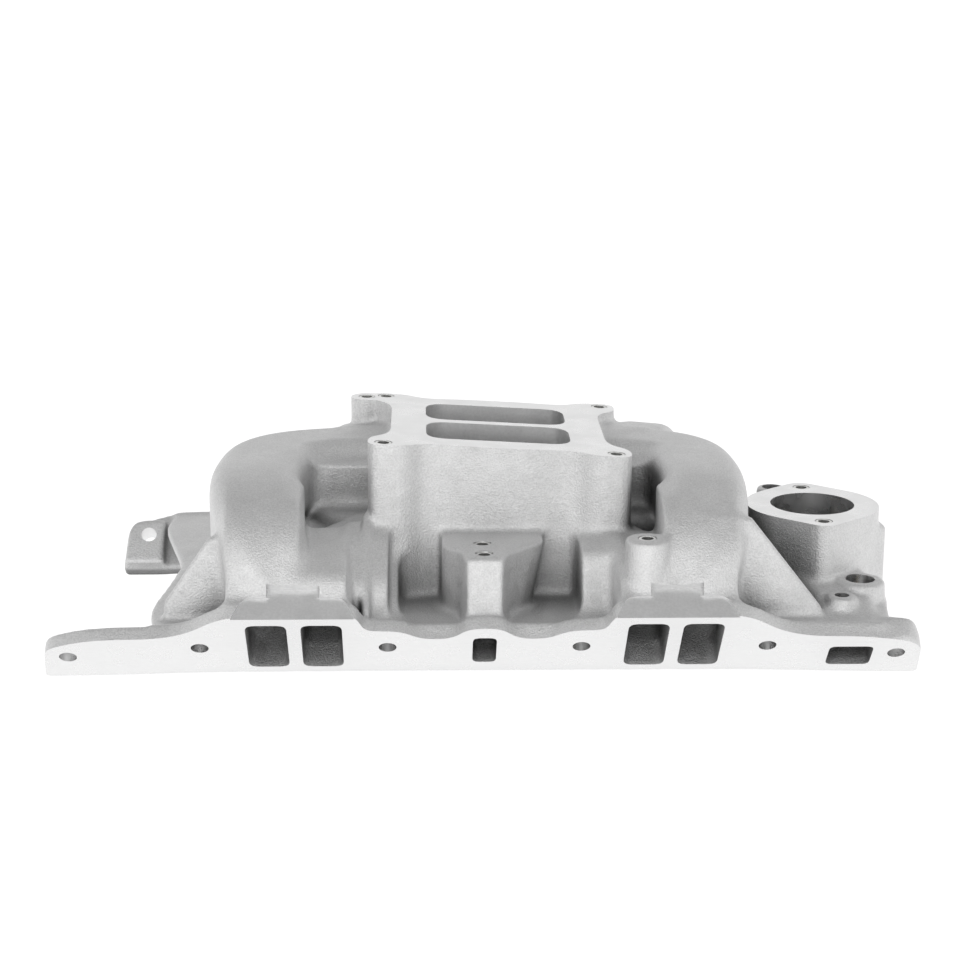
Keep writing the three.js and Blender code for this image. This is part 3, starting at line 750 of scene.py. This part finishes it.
def grow_casting():
    """The raw casting as a mesh, before any machining."""
    reach = FLANGE["half"] + BANK_STAGGER / 2 + 4
    cast = Casting((-reach, -156, -4), (reach, 156, 144))
    cast.add(4, *[flange(bank) for bank in BANKS])
    cast.add(5, floor_plate())
    cast.add(4, *[end_ear(bank) for bank in BANKS], *[end_rail(end) for end in ENDS])
    cast.add(6, column())
    cast.add(6, *[duct(stations) for stations in RUNNERS])
    cast.add(9, *[recess_wall(end) for end in ENDS])
    cast.add(7, *[leg_front(end) for end in ENDS], *[port_housing(end) for end in ENDS])
    cast.add(8, *[column_foot(end) for end in ENDS])
    cast.add(5, *choke_box())
    cast.add(5, *slot_floors())
    cast.add(3, corner_rib())
    cast.add(5, *[gusset(end) for end in ENDS])
    cast.add(3, accessory_boss(), bracket_boss())
    cast.add(4, duct(water_crossover()), neck(), neck_lobe())
    cast.add(3, *[water_boss(boss) for boss in WATER_BOSSES])
    cast.add(3, *[cylinder(x, y, CORE_PLUG["radius"] + 4, CORE_PLUG["bottom"] - STOCK, 34)
                  for x, y in CORE_PLUG["places"]])
    cast.add(4, *[cylinder(0, 0, PIPE_PLUG["boss"], -16, STOCK, far_place(place))
                  for place in PIPE_PLUG["places"]])
    cast.add(3, *[cylinder(sx * RIVET["x"], sy * RIVET["y"], 6, RIVET["seat"], PLATE["top"] - 4)
                  for sx in ENDS for sy in ENDS])
    cast.cut(2, *plenums(), *underside_pockets())
    cast.add(4, duct(heat_crossover()))
    cast.cut(2, *[duct(stations, WALL) for stations in RUNNERS])
    cast.cut(2, duct(heat_crossover(), WALL), duct(water_crossover(), WALL))
    cast.cut(1, *[mouth for bank in BANKS for mouth in port_mouths(bank)])
    cast.soften(1)
    return largest_piece(*cast.mesh())


def face_cuts():
    """The big milled faces."""
    past = 13  # how far a cutter runs past the studs of the pad
    pad = rectangle(0, 0, 2 * (PAD["stud_x"] + past), 2 * (PAD["stud_y"] + past), 0)
    neck_top = rectangle(NECK["x"], NECK["y"], 2 * NECK["collar"] + 6, 120, 0)
    rail = rectangle(RAIL["rear"], 0, RAIL["width"] + 8, RAIL["length"] + 6, 0)
    return [
        face_cutter(NEAR),
        face_cutter(FAR),
        prism(pad, 0, 20, PAD_PLACE),
        prism(neck_top, NECK["top"], NECK["top"] + 12),
        prism(rail, RAIL_BOTTOM - 2 * STOCK, RAIL_BOTTOM),
    ]


def spot_faces():
    """The small milled faces under and beside the plugs, and the bracket boss."""
    boss, reach = BRACKET_BOSS, 3
    top = pad_height(boss["x"])
    faces = [cylinder(boss["x"], boss["y"], boss["radius"] + reach, top, top + 6)]
    faces += [cylinder(0, 0, PIPE_PLUG["boss"] + reach, 0, 6, far_place(place))
              for place in PIPE_PLUG["places"]]
    faces += [cylinder(x, y, CORE_PLUG["radius"] + 8, CORE_PLUG["bottom"] - 6, CORE_PLUG["bottom"])
              for x, y in CORE_PLUG["places"]]
    return faces


def drilled_holes():
    gap = INSERT["clearance"]
    holes = [hole for bank in BANKS for hole in bolt_holes(bank)]
    holes += [insert_hole(place) for place in insert_places()]
    holes += [cylinder(boss["x"], boss["y"], boss["hole"], boss["top"] - 14, boss["top"] + 5)
              for boss in WATER_BOSSES]
    holes.append(cylinder(NECK["x"], NECK["y"], NECK["bore"], 44, NECK["top"] + 5, sides=96))
    holes += [cylinder(x, y, CORE_PLUG["radius"] + gap, CORE_PLUG["bottom"] - 5, 42)
              for x, y in CORE_PLUG["places"]]
    holes += [cylinder(0, 0, PIPE_PLUG["radius"] + gap, -30, 5, far_place(place))
              for place in PIPE_PLUG["places"]]
    holes += [cylinder(sx * RIVET["x"], sy * RIVET["y"], RIVET["hole"], 20, PLATE["top"] - 1)
              for sx in ENDS for sy in ENDS]
    return holes


def machining(cast, milled, ledge):
    """(cutters, the finish they leave), in the order of work. Cutters of a group never touch."""
    slots = [prism(slot_shape(side), PLENUM["upper_floor"] + 4, PAD["z"] + 10) for side in ENDS]
    return [
        (face_cuts(), milled),
        (spot_faces(), milled),
        ([cutter for bank in BANKS for cutter in ledge_cutters(bank)], ledge),
        ([cutter for bank in BANKS for cutter in notch_cutters(bank)], ledge),
        (slots, ledge),
        (drilled_holes(), milled),
    ]


def crease(mesh, limit):
    """Sharp edges where the finish changes, and where milled faces meet."""
    faces, edges = len(mesh.polygons), len(mesh.edges)
    sizes = np.empty(faces, np.int32)
    mesh.polygons.foreach_get("loop_total", sizes)
    finish = np.empty(faces, np.int32)
    mesh.polygons.foreach_get("material_index", finish)
    normals = np.empty(faces * 3, np.float32)
    mesh.polygons.foreach_get("normal", normals)
    normals = normals.reshape(-1, 3)
    loop_edge = np.empty(len(mesh.loops), np.int32)
    mesh.loops.foreach_get("edge_index", loop_edge)
    loop_face = np.repeat(np.arange(faces), sizes)
    order = np.argsort(loop_edge, kind="stable")
    pair = loop_face[order].reshape(edges, 2)
    one, other = pair.T
    cosine = np.sum(normals[one] * normals[other], axis=1)
    milled = (finish[one] > 0) & (finish[other] > 0) & (cosine < math.cos(limit))
    border = (finish[one] != finish[other]) & (cosine < math.cos(limit / 2))
    sharp = mesh.attributes.new("sharp_edge", "BOOLEAN", "EDGE")
    sharp.data.foreach_set("value", milled | border)
    mesh.polygons.foreach_set("use_smooth", np.ones(faces, bool))
    mesh.update()


# ---- Materials ----
def shader(name, metallic=1.0):
    material = bpy.data.materials.new(name)
    material.use_nodes = True
    tree = material.node_tree
    principled = tree.nodes["Principled BSDF"]
    principled.inputs["Metallic"].default_value = metallic
    place = tree.nodes.new("ShaderNodeTexCoord").outputs["Object"]
    return material, tree, principled, place


def noise(tree, place, scale, detail=3.0, roughness=0.55):
    node = tree.nodes.new("ShaderNodeTexNoise")
    node.inputs["Scale"].default_value = scale
    node.inputs["Detail"].default_value = detail
    node.inputs["Roughness"].default_value = roughness
    tree.links.new(place, node.inputs["Vector"])
    return node.outputs["Fac"]


def ramp(tree, value, *stops):
    """stops are (position, colour or grey)."""
    node = tree.nodes.new("ShaderNodeValToRGB")
    elements = node.color_ramp.elements
    while len(elements) < len(stops):
        elements.new(0.5)
    for element, (position, colour) in zip(elements, stops):
        element.position = position
        element.color = (*colour, 1) if isinstance(colour, tuple) else (colour, colour, colour, 1)
    tree.links.new(value, node.inputs["Fac"])
    return node.outputs["Color"]


def mixed(tree, kind, one, other, factor=1.0):
    node = tree.nodes.new("ShaderNodeMix")
    node.data_type = "RGBA"
    node.blend_type = kind
    node.inputs["Factor"].default_value = factor
    tree.links.new(one, node.inputs["A"])
    tree.links.new(other, node.inputs["B"])
    return node.outputs["Result"]


def bumped(tree, height, distance, strength, under=None):
    node = tree.nodes.new("ShaderNodeBump")
    node.inputs["Distance"].default_value = distance
    node.inputs["Strength"].default_value = strength
    tree.links.new(height, node.inputs["Height"])
    if under is not None:
        tree.links.new(under, node.inputs["Normal"])
    return node.outputs["Normal"]


def shelter(tree, reach):
    """How open a place is: 1 out on a face, less inside a recess or a passage."""
    node = tree.nodes.new("ShaderNodeAmbientOcclusion")
    node.samples = 8
    node.inputs["Distance"].default_value = reach
    return node.outputs["AO"]


def cast_aluminium():
    """Sand-cast skin: a pebbled grain of about a millimetre, faint clouds, and painted shade that darkens
    the colour in each recess and passage.
    """
    material, tree, principled, place = shader("cast_aluminium")
    clouds = ramp(tree, noise(tree, place, 28, 4), (0.3, 0.72), (0.7, 0.79))
    speckle = ramp(tree, noise(tree, place, 950, 2, 0.7), (0.35, 0.86), (0.65, 1.0))
    skin = mixed(tree, "MULTIPLY", clouds, speckle)
    # Painted shade: ambient occlusion darkens the base colour inside each recess and passage.
    painted_recess_shade = ramp(tree, shelter(tree, 0.05), (0.04, 0.1), (0.56, 1.0))
    tree.links.new(mixed(tree, "MULTIPLY", skin, painted_recess_shade), principled.inputs["Base Color"])
    rough = ramp(tree, noise(tree, place, 160, 2), (0.3, 0.5), (0.7, 0.62))
    tree.links.new(rough, principled.inputs["Roughness"])
    grain = bumped(tree, noise(tree, place, 950, 3, 0.6), 0.0008, 0.7)
    waves = bumped(tree, noise(tree, place, 170, 2), 0.0008, 0.2, grain)
    tree.links.new(waves, principled.inputs["Normal"])
    return material


def milled_aluminium():
    """A face milled bright, with faint cutter marks along it."""
    material, tree, principled, place = shader("milled_aluminium")
    stretch = tree.nodes.new("ShaderNodeMapping")
    stretch.inputs["Scale"].default_value = (1, 14, 14)
    tree.links.new(place, stretch.inputs["Vector"])
    marks = noise(tree, stretch.outputs["Vector"], 120, 3, 0.6)
    tree.links.new(ramp(tree, marks, (0.3, 0.77), (0.7, 0.8)), principled.inputs["Base Color"])
    tree.links.new(ramp(tree, noise(tree, place, 60, 2), (0.3, 0.24), (0.7, 0.34)),
                   principled.inputs["Roughness"])
    tree.links.new(bumped(tree, marks, 0.00005, 0.12), principled.inputs["Normal"])
    return material


def ledge_aluminium():
    """The roughly milled ledges: greyer than the faces, with a dull even grain."""
    material, tree, principled, place = shader("ledge_aluminium")
    grain = noise(tree, place, 620, 3, 0.6)
    tree.links.new(ramp(tree, grain, (0.3, 0.69), (0.7, 0.77)), principled.inputs["Base Color"])
    tree.links.new(ramp(tree, noise(tree, place, 80, 2), (0.3, 0.42), (0.7, 0.52)),
                   principled.inputs["Roughness"])
    tree.links.new(bumped(tree, grain, 0.0002, 0.3), principled.inputs["Normal"])
    return material


def plain_metal(name, dark, light, rough, mark_scale, bump=0.0002):
    """A turned, drawn or rolled metal with streaks and a little wear."""
    material, tree, principled, place = shader(name)
    streaks = noise(tree, place, mark_scale, 4, 0.6)
    tree.links.new(ramp(tree, streaks, (0.3, dark), (0.7, light)), principled.inputs["Base Color"])
    smudges = noise(tree, place, 90, 2)
    tree.links.new(ramp(tree, smudges, (0.3, rough - 0.06), (0.7, rough + 0.08)),
                   principled.inputs["Roughness"])
    tree.links.new(bumped(tree, streaks, bump, 0.4), principled.inputs["Normal"])
    return material


SMALL_METALS = {
    "insert_steel": (("insert_steel", (0.62, 0.62, 0.61), (0.78, 0.78, 0.76), 0.32, 700), "insert"),
    "rivet_steel": (("rivet_steel", (0.5, 0.5, 0.49), (0.64, 0.64, 0.62), 0.36, 500), "rivet"),
    "plug_brass": (("plug_brass", (0.62, 0.45, 0.2), (0.76, 0.6, 0.32), 0.3, 420), "core_plug"),
    "plug_steel": (("plug_steel", (0.34, 0.34, 0.34), (0.5, 0.5, 0.49), 0.36, 600), "port_plug"),
    "zinc_plated_sheet": (("zinc_plated_sheet", (0.5, 0.51, 0.52), (0.64, 0.65, 0.65), 0.38, 60),
                          "splash_shield"),
}


def dress_cad_nodes():
    """Each CAD piece that keeps its shape gets its own metal."""
    for slot_name, (recipe, word) in SMALL_METALS.items():
        material = plain_metal(*recipe)
        for name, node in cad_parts.items():
            if word in name:
                node.data.materials.clear()
                node.data.materials.append(material)


# ---- The casting piece ----
def make_casting():
    cast, milled, ledge = cast_aluminium(), milled_aluminium(), ledge_aluminium()
    piece = mesh_object("casting", *grow_casting(), [cast, milled, ledge])
    triangles = sum(len(face.vertices) - 2 for face in piece.data.polygons)
    if triangles > MOST_TRIANGLES:
        thin = piece.modifiers.new("thin", "DECIMATE")
        thin.ratio = MOST_TRIANGLES / triangles
        apply_modifiers(piece)
    for tools, finish in machining(cast, milled, ledge):
        machine(piece, tools, finish)
    crease(piece.data, math.radians(30))
    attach(piece, "root")
    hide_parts("manifold_casting")
    return piece


# ---- Studio ----
def floor():
    material = bpy.data.materials.new("pale_floor")
    material.use_nodes = True
    principled = material.node_tree.nodes["Principled BSDF"]
    principled.inputs["Base Color"].default_value = (0.2, 0.2, 0.2, 1)
    principled.inputs["Roughness"].default_value = 0.9
    principled.inputs["Emission Color"].default_value = (1, 1, 1, 1)
    principled.inputs["Emission Strength"].default_value = 0.95
    half = 12.0
    mesh = bpy.data.meshes.new("floor")
    mesh.from_pydata([(-half, -half, 0), (half, -half, 0), (half, half, 0), (-half, half, 0)], [],
                     [(0, 1, 2, 3)])
    mesh.materials.append(material)
    plane = bpy.data.objects.new("floor", mesh)
    plane.location.z = -0.0005
    bpy.context.scene.collection.objects.link(plane)


def sky():
    """A white room: bright at the horizon, dimmer overhead."""
    world = bpy.data.worlds.new("studio")
    bpy.context.scene.world = world
    world.use_nodes = True
    tree = world.node_tree
    background = tree.nodes["Background"]
    place = tree.nodes.new("ShaderNodeTexCoord").outputs["Generated"]
    split = tree.nodes.new("ShaderNodeSeparateXYZ")
    tree.links.new(place, split.inputs["Vector"])
    tree.links.new(ramp(tree, split.outputs["Z"], (0.0, 1.0), (0.28, 1.0), (0.8, 0.48)),
                   background.inputs["Color"])
    background.inputs["Strength"].default_value = 1.0


def soft_light(name, place, aim, size, power):
    light = bpy.data.lights.new(name, "AREA")
    light.shape = "RECTANGLE"
    light.size, light.size_y = size
    light.energy = power
    lamp = bpy.data.objects.new(name, light)
    lamp.location = place
    lamp.rotation_euler = (Vector(aim) - Vector(place)).to_track_quat("-Z", "Y").to_euler()
    bpy.context.scene.collection.objects.link(lamp)


def studio():
    sky()
    floor()
    soft_light("front_softbox", (-0.5, -2.2, 0.9), (0, 0, 0.06), (2.0, 1.2), 10)
    bpy.context.scene.view_settings.view_transform = "Standard"


EYE = dict(place=(-0.04995, -1.35006, 0.44675), lens=81.43, sensor=36, yaw=1.682, pitch=14.624, roll=0.246)


def camera():
    """From the near side, looking down on the pad a little. The angles of EYE are in degrees."""
    lens = bpy.data.cameras.new("camera")
    lens.sensor_width = EYE["sensor"]
    lens.lens = EYE["lens"]
    lens.clip_start = 0.05
    eye = bpy.data.objects.new("camera", lens)
    pitch, yaw, roll = (math.radians(EYE[angle]) for angle in ("pitch", "yaw", "roll"))
    turn = (Matrix.Rotation(-yaw, 4, "Z") @ Matrix.Rotation(math.pi / 2 - pitch, 4, "X")
            @ Matrix.Rotation(roll, 4, "Z"))
    eye.matrix_world = Matrix.Translation(EYE["place"]) @ turn
    bpy.context.scene.collection.objects.link(eye)
    bpy.context.scene.camera = eye


camera()
make_casting()
dress_cad_nodes()
studio()
